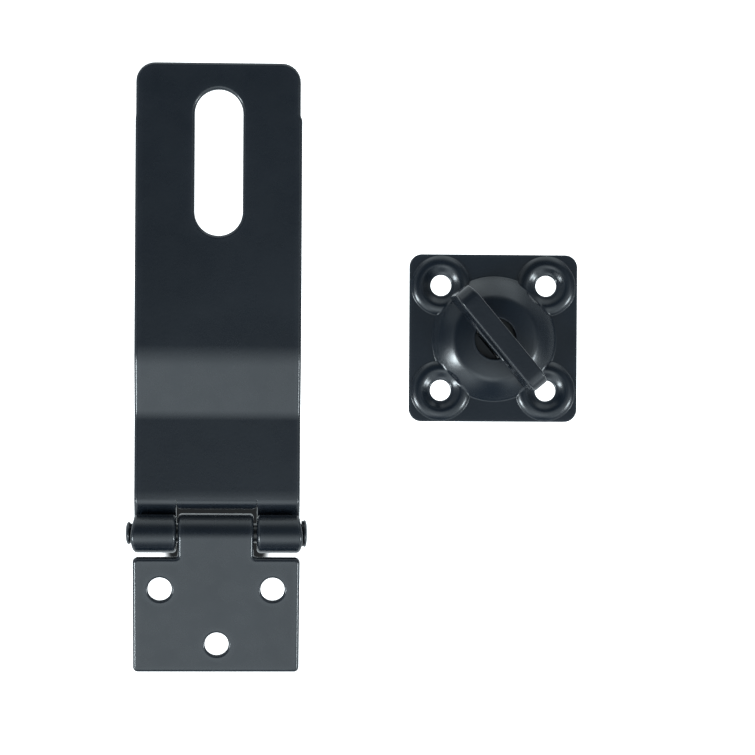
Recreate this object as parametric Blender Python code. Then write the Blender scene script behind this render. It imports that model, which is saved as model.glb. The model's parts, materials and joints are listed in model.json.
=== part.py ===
"""Safety hasp with a swivel staple, as two loose halves lying side by side.

  - The hasp, at -X: a joggled strap whose end is rolled round a riveted pin, and a
    small leaf whose tongue is rolled round the same pin.
  - The staple, at +X: a pressed plate with a low dome and four raised screw rings,
    and a thick staple that turns in the dome's centre hole, held from behind by a
    slotted washer and a peened tang.

The scene is in metres and the constants are in millimetres. X runs along the hinge
pin, the strap reaches towards +Y, +Z is up and the set's underside is on z = 0.
The hasp's parts are placed from the pin's middle, the staple's from its swivel axis.
"""

import math

import bmesh
import bpy
from mathutils import Vector
from mathutils.geometry import delaunay_2d_cdt

MM = 0.001
PAINT = (0.020, 0.026, 0.033)   # linear RGB before each piece's tint
SHARP_DEG = 30                  # edges that turn more than this are shaded sharp

# ---- Hasp: hinge and sheet
HINGE_AT = (-33.2, -39.87, 6.12)   # middle of the pin
SHEET = 2.2                        # thickness of strap and leaf
PIN_R = 2.35
BORE_R = 2.6                       # inside of the rolled knuckles
ROLL_R = BORE_R + SHEET / 2        # middle of the sheet in the rolls

# ---- Hasp: strap, with y measured from the pin's axis
STRAP_W = 40.45
STRAP_REACH = 114.3      # y of the tip
TIP_CORNER_R = 4.6
TIP_TRIM_LENGTH = 13.2   # the tip is slightly narrower over this length
TIP_TRIM_BLEND = 0.3     # half the length of the step into the trim
TIP_TRIM_LEFT = 0.12     # taken off the -X edge
TIP_TRIM_RIGHT = 0.42    # taken off the +X edge
SLOT_W = 11.6
SLOT_L = 35.3
SLOT_AT = 90.1           # y of the slot's centre
SLOT_CUTTER_Z = (-8, 16)
RUN_IN_DEG = 30.0        # slope of the strap where it meets its roll
RUN_IN_END_Y = 7.45      # where that slope ends
RUN_IN_BEND_R = 2.6
ROLL_START_DEG = RUN_IN_DEG + 270.0   # round the pin, where the strap meets the roll
ROLL_END_DEG = 4.0       # round the pin, where the roll's free end is
EASE_DEG = 6.0           # slope from which the bend eases into the lower flat
EASE_R = 20.0
JOGGLE_DEG = 17.5        # slope of the joggle
LOWER_BEND_Y = (27.6, 30.5)
UPPER_BEND_Y = (40.8, 45.9)
BULGE = 0.7              # greatest sideways spread of the rolled ends
BULGE_PEAK_DEG = 105.0   # round the pin, where the spread is greatest
BULGE_REACH = 0.3        # the sheet counts as rolled this far outside ROLL_R
NOTCH_X = (-9.85, 10.2)  # gap between the strap's two knuckles
LIP_SLIT = 0.3           # slit on each side of the lip between the knuckles
LIP_DEG = 50.0           # slope of the lip
LIP_BEND_R = 1.25
LIP_TOP_Y = 5.75         # where the lip's upper edge ends
LIP_LEAD = 0.35          # the lip runs on this far before it bends

# ---- Hasp: leaf, with lengths measured from the pin's axis towards -Y
LEAF_TILT_DEG = 14.5     # the leaf hangs down from the hinge
LEAF_X = -0.1            # leaf's middle relative to the strap's
LEAF_W = 40.7
LEAF_END = 34.48
LEAF_SHOULDER = 4.95
LEAF_CORNER_R = 1.2
TONGUE_W = 17.8
TONGUE_WRAP_DEG = 288.0
LEAF_HOLE_D = 5.9
LEAF_HOLES = ((-13.75, 12.95), (13.75, 12.95), (0.15, 27.15))   # x, along the leaf
LEAF_CUTTER_REACH = 4    # above and below the sheet's middle

# ---- Hasp: pin heads, the right one at +X
HEAD_GAP = 0.25          # between a head and the widest part of its knuckle
LEFT_HEAD_D, LEFT_HEAD_H = 5.5, 1.10
RIGHT_HEAD_D, RIGHT_HEAD_H = 6.6, 0.90
HEAD_RIM = 0.45          # straight rim under the domed heads
HEAD_DOME_DEG = (25, 50, 72)   # stations up the dome of a head
PIN_STEPS = 32

# ---- Staple: plate
PLATE_X, PLATE_Y = 34.63, 8.25
PLATE_W, PLATE_H = 41.6, 41.3    # along X and along Y
PLATE_CORNER_R = 3.1
PLATE_T = 1.5
SWIVEL_X, SWIVEL_Y = 34.8, 8.12
CENTRE_HOLE_R = 5.0
DOME_R = 15.4                    # foot of the dome
# radius, downward slope in degrees
DOME_SLOPES = ((0.0, 0.0), (5.0, 3.0), (9.5, 10.0), (10.9, 33.0), (DOME_R, 46.0))
DOME_STEP = 0.05                 # radial step for adding up the slopes
SCREW_PITCH_X, SCREW_PITCH_Y = 26.0, 25.9
SCREW_HOLE_R = 5.1 / 2
RING_CREST_R = 5.2
RING_FOOT_R = 7.4
RING_RISE = 1.05
DOME_FADE = (3.3, RING_CREST_R + 0.1)   # the dome fades in over these screw distances
SADDLE = 0.35                    # softness of the valley between ring and dome
SLOPE_PROBE = 0.05               # half the span over which a slope is measured
MAX_STRETCH = 1.4                # limit on vertical thickness against PLATE_T
PLATE_CORNER_STEPS = 5

# Rings of mesh points as radius, count
DOME_POINT_RINGS = ((7.4, 32), (9.5, 36), (10.25, 40), (10.95, 40), (12.3, 48), (13.8, 56),
                    (DOME_R, 64))
SCREW_POINT_RINGS = ((3.5, 20), (4.4, 24), (RING_CREST_R, 28), (6.2, 32), (6.9, 32),
                     (RING_FOOT_R, 36))
DOME_POINT_GAP = 0.55            # least distance from a new point to the earlier ones
SCREW_POINT_GAP = 0.5
EDGE_MARGIN_X, EDGE_MARGIN_Y = 0.35, 0.3   # kept clear of points inside the plate's edge
HOLE_MARGIN = 0.3                # kept clear of points round every hole

SCREW_CENTRES = [(PLATE_X + i * SCREW_PITCH_X / 2, PLATE_Y + j * SCREW_PITCH_Y / 2)
                 for i in (-1, 1) for j in (-1, 1)]
# x, y, radius, segments
PLATE_HOLES = [(SWIVEL_X, SWIVEL_Y, CENTRE_HOLE_R, 40)]
PLATE_HOLES += [(x, y, SCREW_HOLE_R, 20) for x, y in SCREW_CENTRES]

# ---- Staple: swivelling part
STAPLE_DEG = -50.0               # direction of the staple's length from +X
STAPLE_L = 30.0
STAPLE_T = 4.7
STAPLE_TOP = 24.5
STAPLE_CORNER_R = 3.4
CLEAR = 0.35                     # gap between staple and dome
SHOULDER_X = 6.6                 # the level seat round the tang ends here
DOME_FOLLOW_R = (8.4, 9.6, 10.4, 11.0, 11.9, 12.8, 13.5)   # where the underside follows
FOOT_Z = 3.15
FOOT_SEARCH_FROM, FOOT_SEARCH_STEP = 13.9, 0.02
FOOT_MIN_L = 0.3
EYE_W = 15.0
EYE_Z = (8.5, 20.0)
EYE_CORNER_R = 3.0
EYE_CUTTER_REACH = 8
PEEN_Z = (1.3, 2.5)
PEEN_SIZE = (11.0, 7.6)
TANG_W = 8.0
TANG_END_Z = PEEN_Z[0] + 0.35
WASHER_R = 7.5
WASHER_Z = (2.85, 4.15)
WASHER_SLOT = (8.6, 5.3)
WASHER_SLOT_CORNER_R = 0.4
WASHER_CUTTER_REACH = 2


# ---- Scene helpers
def clear_scene():
    for old in list(bpy.data.objects):
        bpy.data.objects.remove(old, do_unlink=True)
    for block in (bpy.data.meshes, bpy.data.materials):
        for old in list(block):
            block.remove(old)


def painted(name, tint=1.0, roughness=0.42):
    """The shared dark paint, lightened or darkened by a tint."""
    material = bpy.data.materials.new(name)
    material.use_nodes = True
    inputs = material.node_tree.nodes["Principled BSDF"].inputs
    inputs["Base Color"].default_value = (*(channel * tint for channel in PAINT), 1.0)
    inputs["Roughness"].default_value = roughness
    inputs["Metallic"].default_value = 0.0
    return material


def link_object(name, data, parent=None):
    made = bpy.data.objects.new(name, data)
    bpy.context.scene.collection.objects.link(made)
    made.parent = parent
    return made


def add_empty(name, x, y, z):
    made = link_object(name, None)
    made.location = (x * MM, y * MM, z * MM)
    return made


def add_object(name, build, material, parent):
    """Turn a bmesh into an object; cutters are given no material."""
    mesh = bpy.data.meshes.new(name)
    bmesh.ops.recalc_face_normals(build, faces=build.faces)
    build.to_mesh(mesh)
    build.free()
    if material:
        mesh.materials.append(material)
    mesh.shade_smooth()
    mesh.set_sharp_from_angle(angle=math.radians(SHARP_DEG))
    return link_object(name, mesh, parent)


def combine(target, helper, operation="DIFFERENCE"):
    """Cut or join a helper body with a boolean and hide the helper."""
    helper.hide_render = True
    helper.display_type = "WIRE"
    modifier = target.modifiers.new("cut_" + helper.name, "BOOLEAN")
    modifier.operation = operation
    modifier.solver = "EXACT"
    modifier.object = helper


def add_grid(build, rows):
    """Quads between rows of points, all rows of one length."""
    made = [[build.verts.new(Vector(point) * MM) for point in row] for row in rows]
    for low, high in zip(made, made[1:]):
        for i in range(len(low) - 1):
            build.faces.new((low[i], low[i + 1], high[i + 1], high[i]))


def add_sheet(name, grids, material, parent):
    """Weld grids of middle-surface points and thicken them into sheet metal."""
    build = bmesh.new()
    for rows in grids:
        add_grid(build, rows)
    bmesh.ops.remove_doubles(build, verts=build.verts, dist=1e-6)
    made = add_object(name, build, material, parent)
    modifier = made.modifiers.new("sheet", "SOLIDIFY")
    modifier.thickness = SHEET * MM
    modifier.offset = 0.0
    modifier.use_even_offset = True
    modifier.use_rim = True
    return made


def prism(name, outline, low, high, parent, upright=False, material=None):
    """Push an XY outline along Z or, when upright, an XZ outline along Y."""
    build = bmesh.new()
    if upright:
        points = [(x * MM, low * MM, z * MM) for x, z in outline]
    else:
        points = [(x * MM, y * MM, low * MM) for x, y in outline]
    push = Vector((0, 1, 0) if upright else (0, 0, 1)) * ((high - low) * MM)
    face = build.faces.new([build.verts.new(point) for point in points])
    extruded = bmesh.ops.extrude_face_region(build, geom=[face])["geom"]
    moved = [part for part in extruded if isinstance(part, bmesh.types.BMVert)]
    bmesh.ops.translate(build, verts=moved, vec=push)
    return add_object(name, build, material, parent)


# ---- Outlines and paths
def arc(x, y, radius, start_deg, end_deg, steps):
    angles = [math.radians(start_deg + (end_deg - start_deg) * i / steps)
              for i in range(steps + 1)]
    return [(x + radius * math.cos(angle), y + radius * math.sin(angle)) for angle in angles]


def rounded_rectangle(x, y, width, height, radius, steps):
    dx, dy = width / 2 - radius, height / 2 - radius
    corners = ((dx, dy), (-dx, dy), (-dx, -dy), (dx, -dy))
    outline = []
    for i, (corner_x, corner_y) in enumerate(corners):
        outline += arc(x + corner_x, y + corner_y, radius, 90 * i, 90 * (i + 1), steps)
    return outline


def circle(x, y, radius, steps, phase=0.0):
    """Phase turns the points by a fraction of a step."""
    angles = [2 * math.pi * (i + phase) / steps for i in range(steps)]
    return [(x + radius * math.cos(angle), y + radius * math.sin(angle)) for angle in angles]


def corner_inset(radius, into):
    """How far a rounded corner pulls an edge in, at a distance into the corner."""
    return radius - math.sqrt(max(0.0, radius ** 2 - into ** 2))


class Walk:
    """A path in the YZ plane made of straight runs and tangent arcs."""

    def __init__(self, y, z, heading_deg):
        self.points = [(y, z)]
        self.heading = heading_deg

    def run(self, length):
        y, z = self.points[-1]
        angle = math.radians(self.heading)
        self.points.append((y + math.cos(angle) * length, z + math.sin(angle) * length))

    def run_to_y(self, target):
        self.run((target - self.points[-1][0]) / math.cos(math.radians(self.heading)))

    def turn(self, radius, to_deg, steps):
        y, z = self.points[-1]
        side = radius if to_deg > self.heading else -radius
        start = math.radians(self.heading)
        centre_y, centre_z = y - side * math.sin(start), z + side * math.cos(start)
        for i in range(1, steps + 1):
            angle = math.radians(self.heading + (to_deg - self.heading) * i / steps)
            self.points.append((centre_y + side * math.sin(angle),
                                centre_z - side * math.cos(angle)))
        self.heading = to_deg

    def turn_to_y(self, target, to_deg, steps):
        span = abs(math.sin(math.radians(to_deg)) - math.sin(math.radians(self.heading)))
        self.turn((target - self.points[-1][0]) / span, to_deg, steps)


# ---- Strap
def roll_path():
    """Sheet middle from the knuckle's free end to where lip and knuckles part."""
    angle = math.radians(ROLL_END_DEG)
    path = Walk(ROLL_R * math.cos(angle), ROLL_R * math.sin(angle), ROLL_END_DEG + 90.0)
    path.turn(ROLL_R, ROLL_START_DEG + 90.0, 21)
    path.heading = RUN_IN_DEG   # the same direction, less a full turn
    path.run_to_y(RUN_IN_END_Y)
    path.turn(RUN_IN_BEND_R, EASE_DEG, 4)
    return path.points


def body_path(y, z):
    """Sheet middle from the parting line over the joggle to the tip."""
    path = Walk(y, z, EASE_DEG)
    path.turn(EASE_R, 0.0, 3)
    path.run_to_y(LOWER_BEND_Y[0])
    path.turn_to_y(LOWER_BEND_Y[1], JOGGLE_DEG, 4)
    path.run_to_y(UPPER_BEND_Y[0])
    path.turn_to_y(UPPER_BEND_Y[1], 0.0, 6)
    path.run_to_y(STRAP_REACH - TIP_TRIM_LENGTH - TIP_TRIM_BLEND)
    path.run_to_y(STRAP_REACH - TIP_TRIM_LENGTH + TIP_TRIM_BLEND)
    corner_start = STRAP_REACH - TIP_CORNER_R
    for i in range(6):
        path.run_to_y(corner_start + TIP_CORNER_R * math.sin(math.radians(90.0 * i / 5)))
    return path.points


def lip_path(y, z):
    """Sheet middle from the parting line back to the lip's lower, free edge."""
    path = Walk(y, z, EASE_DEG + 180.0)
    path.run(LIP_LEAD)
    path.turn(LIP_BEND_R, LIP_DEG + 180.0, 5)
    path.run_to_y(LIP_TOP_Y + SHEET / 2 * math.sin(math.radians(LIP_DEG)))
    return path.points


def strap_edges(y):
    """Left (-X) and right (+X) edge of the strap at y."""
    trim_start = STRAP_REACH - TIP_TRIM_LENGTH - TIP_TRIM_BLEND
    trim = min(1.0, max(0.0, (y - trim_start) / (2 * TIP_TRIM_BLEND)))
    into = max(0.0, y - (STRAP_REACH - TIP_CORNER_R))
    inset = corner_inset(TIP_CORNER_R, into)
    return (-STRAP_W / 2 + TIP_TRIM_LEFT * trim + inset,
            STRAP_W / 2 - TIP_TRIM_RIGHT * trim - inset)


def knuckle_bulge(y, z):
    """Sideways spread of the rolled sheet."""
    if math.hypot(y, z) > ROLL_R + BULGE_REACH:
        return 0.0
    off_peak = (math.degrees(math.atan2(z, y)) % 360.0) - BULGE_PEAK_DEG
    return BULGE * math.cos(math.radians(off_peak)) ** 2 if abs(off_peak) < 90.0 else 0.0


def build_strap(axis):
    roll = roll_path()
    body = body_path(*roll[-1])
    lip = lip_path(*roll[-1])
    left_knuckle, lip_left, lip_right, right_knuckle = (
        notch + side * LIP_SLIT / 2 for notch in NOTCH_X for side in (-1, 1))

    body_rows = []
    for y, z in body:
        left, right = strap_edges(y)
        columns = (left, left_knuckle, lip_left, lip_right, right_knuckle, right)
        body_rows.append([(x, y, z) for x in columns])
    edge = STRAP_W / 2
    left_rows = [[(-edge - knuckle_bulge(y, z), y, z), (left_knuckle, y, z)] for y, z in roll]
    right_rows = [[(right_knuckle, y, z), (edge + knuckle_bulge(y, z), y, z)] for y, z in roll]
    lip_rows = [[(lip_left, y, z), (lip_right, y, z)] for y, z in reversed(lip)]
    strap = add_sheet("hasp_strap", (body_rows, left_rows, right_rows, lip_rows),
                      painted("strap_paint"), axis)

    end_r = SLOT_W / 2
    end_y = SLOT_L / 2 - end_r
    outline = (arc(0, SLOT_AT + end_y, end_r, 0, 180, 12)
               + arc(0, SLOT_AT - end_y, end_r, 180, 360, 12))
    combine(strap, prism("strap_slot_cutter", outline, *SLOT_CUTTER_Z, axis))


# ---- Leaf
def leaf_stations():
    """Places along y from the leaf's end to its shoulders, close at both corners."""
    angles = [math.radians(30.0 * i) for i in range(4)]
    end = [-LEAF_END + LEAF_CORNER_R * (1 - math.cos(angle)) for angle in angles]
    shoulder = [-LEAF_SHOULDER - LEAF_CORNER_R * (1 - math.sin(angle)) for angle in angles]
    return end + shoulder


def leaf_half_width(y):
    for reach in (y + LEAF_END, -LEAF_SHOULDER - y):
        if reach < LEAF_CORNER_R:
            return LEAF_W / 2 - corner_inset(LEAF_CORNER_R, LEAF_CORNER_R - reach)
    return LEAF_W / 2


def build_leaf(axis):
    """The leaf is laid out flat, level with the top of its roll, then tilted."""
    curl = Walk(-LEAF_SHOULDER, ROLL_R, 0.0)
    curl.run_to_y(0.0)
    curl.turn(ROLL_R, -TONGUE_WRAP_DEG, 21)
    tongue = TONGUE_W / 2
    flat_rows = []
    for y in leaf_stations():
        half = leaf_half_width(y)
        flat_rows.append([(x, y, ROLL_R) for x in (-half, -tongue, tongue, half)])
    curl_rows = [[(-tongue, y, z), (tongue, y, z)] for y, z in curl.points]
    leaf = add_sheet("hinge_leaf", (flat_rows, curl_rows), painted("leaf_paint", tint=1.1), axis)
    leaf.location = (LEAF_X * MM, 0, 0)
    leaf.rotation_euler = (math.radians(LEAF_TILT_DEG), 0, 0)
    for i, (x, along) in enumerate(LEAF_HOLES, start=1):
        hole = prism(f"leaf_hole_cutter_{i}", circle(x, -along, LEAF_HOLE_D / 2, 24),
                     ROLL_R - LEAF_CUTTER_REACH, ROLL_R + LEAF_CUTTER_REACH, leaf)
        combine(leaf, hole)


# ---- Pin
def head_profile(diameter, height, side):
    """Radius and place along the pin, from the shank out to the head's middle."""
    inner = STRAP_W / 2 + BULGE + HEAD_GAP
    radius = diameter / 2
    rise = height - HEAD_RIM
    profile = [(PIN_R, inner), (radius, inner), (radius, inner + HEAD_RIM)]
    for degrees in HEAD_DOME_DEG:
        angle = math.radians(degrees)
        profile.append((radius * math.cos(angle), inner + HEAD_RIM + rise * math.sin(angle)))
    profile.append((0.0, inner + height))
    return [(r, side * along) for r, along in profile]


def build_pin(axis):
    """A profile turned about local Z, which is then laid along X."""
    profile = (head_profile(RIGHT_HEAD_D, RIGHT_HEAD_H, 1)[::-1]
               + head_profile(LEFT_HEAD_D, LEFT_HEAD_H, -1))
    points = [(radius * MM, 0, along * MM) for radius, along in profile]
    mesh = bpy.data.meshes.new("hinge_pin")
    mesh.from_pydata(points, [(i, i + 1) for i in range(len(points) - 1)], [])
    mesh.materials.append(painted("pin_paint", tint=0.9, roughness=0.36))
    pin = link_object("hinge_pin", mesh, axis)
    pin.rotation_euler = (0, math.radians(90), 0)
    turned = pin.modifiers.new("turned", "SCREW")
    turned.axis = "Z"
    turned.angle = math.radians(360)
    turned.steps = turned.render_steps = PIN_STEPS
    turned.use_merge_vertices = True
    turned.merge_threshold = 0.00001
    turned.use_smooth_shade = True


# ---- Staple plate
def dome_slope_deg(radius):
    for (r0, slope0), (r1, slope1) in zip(DOME_SLOPES, DOME_SLOPES[1:]):
        if radius <= r1:
            return slope0 + (slope1 - slope0) * (radius - r0) / (r1 - r0)
    return DOME_SLOPES[-1][1]


def dome_heights():
    """Heights at equal steps from the dome's foot inwards, added up from its slopes."""
    heights = [0.0]
    for i in range(round(DOME_R / DOME_STEP)):
        slope = math.radians(dome_slope_deg(DOME_R - (i + 0.5) * DOME_STEP))
        heights.append(heights[-1] + DOME_STEP * math.tan(slope))
    return heights


DOME_HEIGHTS = dome_heights()


def dome_rise(radius):
    """Height of the dome's outside above the plate's top."""
    if radius >= DOME_R:
        return 0.0
    place = (DOME_R - radius) / DOME_STEP
    i = min(int(place), len(DOME_HEIGHTS) - 2)
    return DOME_HEIGHTS[i] + (DOME_HEIGHTS[i + 1] - DOME_HEIGHTS[i]) * (place - i)


def ring_rise(distance):
    """Height of a screw ring above the plate's top at a distance from its hole's centre."""
    if distance >= RING_FOOT_R:
        return 0.0
    if distance >= RING_CREST_R:
        run = RING_FOOT_R - RING_CREST_R
        radius = (run * run + RING_RISE ** 2) / (2 * RING_RISE)
        return RING_RISE - radius + math.sqrt(radius ** 2 - (distance - RING_CREST_R) ** 2)
    climb = max(0.0, (distance - SCREW_HOLE_R) / (RING_CREST_R - SCREW_HOLE_R))
    return RING_RISE * (1 - math.cos(math.pi * climb)) / 2


def smooth_max(first, second, softness):
    apart = abs(first - second)
    if apart >= softness:
        return max(first, second)
    return max(first, second) + (softness - apart) ** 2 / (4 * softness)


def pressed_rise(x, y):
    """Height of the plate's outside above its flat top."""
    nearest = min(math.dist((x, y), centre) for centre in SCREW_CENTRES)
    ring = ring_rise(nearest)
    fade = min(1.0, max(0.0, (nearest - DOME_FADE[0]) / (DOME_FADE[1] - DOME_FADE[0])))
    dome = dome_rise(math.hypot(x - SWIVEL_X, y - SWIVEL_Y)) * fade * fade * (3 - 2 * fade)
    return smooth_max(dome, ring, min(SADDLE, 2 * min(dome, ring)))


def pressed_back(x, y):
    """Underside of the pressed sheet, its thickness kept along the slope."""
    rise = pressed_rise(x, y)
    if rise < 1e-6:
        return rise
    step = SLOPE_PROBE
    slope_x = (pressed_rise(x + step, y) - pressed_rise(x - step, y)) / (2 * step)
    slope_y = (pressed_rise(x, y + step) - pressed_rise(x, y - step)) / (2 * step)
    stretch = min(MAX_STRETCH, math.sqrt(1 + slope_x ** 2 + slope_y ** 2))
    return max(0.0, rise + PLATE_T - PLATE_T * stretch)


def blocked(point, gap, kept):
    """Whether a mesh point is too near the plate's edge, a hole or an earlier point."""
    x, y = point
    return (abs(x - PLATE_X) > PLATE_W / 2 - EDGE_MARGIN_X
            or abs(y - PLATE_Y) > PLATE_H / 2 - EDGE_MARGIN_Y
            or any(math.hypot(x - hole_x, y - hole_y) < radius + HOLE_MARGIN
                   for hole_x, hole_y, radius, _ in PLATE_HOLES)
            or any(math.dist(point, other) < gap for other in kept))


def plate_points():
    """Plan points, and the edges that bound the plate and its holes."""
    loops = [rounded_rectangle(PLATE_X, PLATE_Y, PLATE_W, PLATE_H, PLATE_CORNER_R,
                               PLATE_CORNER_STEPS)]
    loops += [circle(*hole) for hole in PLATE_HOLES]
    kept, edges = [], []
    for loop in loops:
        first, count = len(kept), len(loop)
        edges += [(first + i, first + (i + 1) % count) for i in range(count)]
        kept += loop

    groups = [((SWIVEL_X, SWIVEL_Y), DOME_POINT_RINGS, DOME_POINT_GAP)]
    groups += [(centre, SCREW_POINT_RINGS, SCREW_POINT_GAP) for centre in SCREW_CENTRES]
    for centre, rings, gap in groups:
        for radius, count in rings:
            for point in circle(*centre, radius, count, phase=0.5):
                if not blocked(point, gap, kept):
                    kept.append(point)
    return kept, edges


def in_hole(x, y):
    """Whether a place lies within the circle inscribed in a hole's polygon."""
    return any(math.hypot(x - hole_x, y - hole_y) < radius * math.cos(math.pi / segments)
               for hole_x, hole_y, radius, segments in PLATE_HOLES)


def build_plate(axis):
    points, edges = plate_points()
    result = delaunay_2d_cdt([Vector(point) for point in points], edges, [], 0, 1e-5)
    plan, triangles = result[0], result[2]
    build = bmesh.new()

    def add_layer(height):
        return [build.verts.new(((p.x - SWIVEL_X) * MM, (p.y - SWIVEL_Y) * MM,
                                 height(p.x, p.y) * MM)) for p in plan]

    top = add_layer(lambda x, y: PLATE_T + pressed_rise(x, y))
    back = add_layer(pressed_back)
    sides = []
    for triangle in triangles:
        centre_x = sum(plan[i].x for i in triangle) / 3
        centre_y = sum(plan[i].y for i in triangle) / 3
        if in_hole(centre_x, centre_y):
            continue
        build.faces.new([top[i] for i in triangle])
        build.faces.new([back[i] for i in reversed(triangle)])
        sides += zip(triangle, triangle[1:] + triangle[:1])

    # A side met in one direction only is on the rim, so it gets a wall.
    met = set(sides)
    for i, j in sides:
        if (j, i) not in met:
            build.faces.new((top[j], top[i], back[i], back[j]))
    add_object("staple_plate", build, painted("plate_paint", tint=1.05), axis)


# ---- Swivel staple and washer
def staple_underside(radius):
    return PLATE_T + dome_rise(radius) + CLEAR


def staple_outline():
    """The +X half in XZ, from the tang's end out and up to the top, then mirrored."""
    half = STAPLE_L / 2
    seat = staple_underside(CENTRE_HOLE_R)
    right = [(TANG_W / 2, TANG_END_Z), (TANG_W / 2, seat), (SHOULDER_X, seat)]
    right += [(radius, staple_underside(radius)) for radius in DOME_FOLLOW_R]
    foot_from = FOOT_SEARCH_FROM
    while staple_underside(foot_from) > FOOT_Z and foot_from < half - FOOT_MIN_L:
        foot_from += FOOT_SEARCH_STEP
    right += [(foot_from, FOOT_Z), (half, FOOT_Z)]
    right += arc(half - STAPLE_CORNER_R, STAPLE_TOP - STAPLE_CORNER_R, STAPLE_CORNER_R,
                 0, 90, 6)
    return right + [(-x, z) for x, z in reversed(right)]


def build_staple(axis):
    staple = prism("swivel_staple", staple_outline(), -STAPLE_T / 2, STAPLE_T / 2, axis,
                   upright=True, material=painted("staple_paint", tint=0.95, roughness=0.4))
    staple.rotation_euler = (0, 0, math.radians(STAPLE_DEG))
    eye = rounded_rectangle(0, sum(EYE_Z) / 2, EYE_W, EYE_Z[1] - EYE_Z[0], EYE_CORNER_R, 5)
    combine(staple, prism("staple_eye_cutter", eye, -EYE_CUTTER_REACH, EYE_CUTTER_REACH,
                          staple, upright=True))
    oval = [(PEEN_SIZE[0] / 2 * x, PEEN_SIZE[1] / 2 * y) for x, y in circle(0, 0, 1, 28)]
    combine(staple, prism("staple_peen_form", oval, *PEEN_Z, staple), "UNION")


def build_washer(axis):
    washer = prism("staple_retaining_washer", circle(0, 0, WASHER_R, 48), *WASHER_Z, axis,
                   material=painted("washer_paint", tint=0.9, roughness=0.45))
    washer.rotation_euler = (0, 0, math.radians(STAPLE_DEG))
    slot = rounded_rectangle(0, 0, *WASHER_SLOT, WASHER_SLOT_CORNER_R, 2)
    combine(washer, prism("washer_slot_cutter", slot, WASHER_Z[0] - WASHER_CUTTER_REACH,
                          WASHER_Z[1] + WASHER_CUTTER_REACH, washer))


def main():
    clear_scene()
    hinge_axis = add_empty("hinge_axis", *HINGE_AT)
    swivel_axis = add_empty("swivel_axis", SWIVEL_X, SWIVEL_Y, 0)
    build_strap(hinge_axis)
    build_leaf(hinge_axis)
    build_pin(hinge_axis)
    build_plate(swivel_axis)
    build_staple(swivel_axis)
    build_washer(swivel_axis)
    bpy.context.view_layer.update()


main()
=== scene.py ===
"""A painted hasp: a strap and a hinge leaf on one pin, and a plate with a swivel staple.

It lies flat with +Z up. The pin runs along X; from it the strap reaches to +Y and the
leaf to -Y. The pin and the swivel stand on the model's own joints, and the other
pieces are fitted to the boxes of the CAD pieces they replace.
"""

import json
import math

import bmesh
import bpy
import numpy as np
from mathutils import Matrix, Vector
from mathutils.geometry import delaunay_2d_cdt


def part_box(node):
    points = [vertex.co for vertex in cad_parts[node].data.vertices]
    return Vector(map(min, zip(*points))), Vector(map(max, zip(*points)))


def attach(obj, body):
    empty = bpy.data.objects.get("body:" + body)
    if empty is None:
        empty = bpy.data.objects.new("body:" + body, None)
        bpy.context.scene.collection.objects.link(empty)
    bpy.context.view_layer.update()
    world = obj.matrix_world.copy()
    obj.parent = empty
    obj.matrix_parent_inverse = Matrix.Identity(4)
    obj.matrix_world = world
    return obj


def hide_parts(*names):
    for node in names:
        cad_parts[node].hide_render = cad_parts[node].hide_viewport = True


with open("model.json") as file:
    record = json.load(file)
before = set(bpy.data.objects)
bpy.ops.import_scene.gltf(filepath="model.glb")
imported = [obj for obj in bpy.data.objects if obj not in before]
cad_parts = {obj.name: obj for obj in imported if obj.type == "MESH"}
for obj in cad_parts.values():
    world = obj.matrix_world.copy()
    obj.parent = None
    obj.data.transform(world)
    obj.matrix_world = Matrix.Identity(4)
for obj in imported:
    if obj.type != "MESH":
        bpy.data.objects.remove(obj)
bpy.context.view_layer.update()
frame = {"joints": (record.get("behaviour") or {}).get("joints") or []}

MM = 0.001                        # lengths below are in millimetres


def joint_mm(name):
    joint = next(joint for joint in frame["joints"] if joint["name"] == name)
    return [value / MM for value in joint["pos_m"]]


def box_mm(node):
    return [[value / MM for value in corner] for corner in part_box(node)]


HINGE = joint_mm("strap_fold")
SWIVEL = joint_mm("staple_swivel")
STRAP_HIGH = box_mm("hasp_strap")[1]
PLATE_LOW, PLATE_HIGH = box_mm("staple_plate")
STAPLE_LOW, STAPLE_HIGH = box_mm("swivel_staple")
WASHER_LOW, WASHER_HIGH = box_mm("staple_retaining_washer")
PIN_LOW, PIN_HIGH = box_mm("hinge_pin")

SHEET = 2.2                       # thickness of the strap and the leaf
ROLL_R = 3.7                      # middle of the sheet, in both rolls
SHEET_EDGE = 0.92                 # rounding of their edges
CORNER_STEPS = 8                  # segments in each outline corner
EDGE_TURNS = 4                    # segments in each quarter of a rounded edge
KNUCKLE_PEAK_DEG = 105.0          # where round the roll the knuckles are widest


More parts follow.
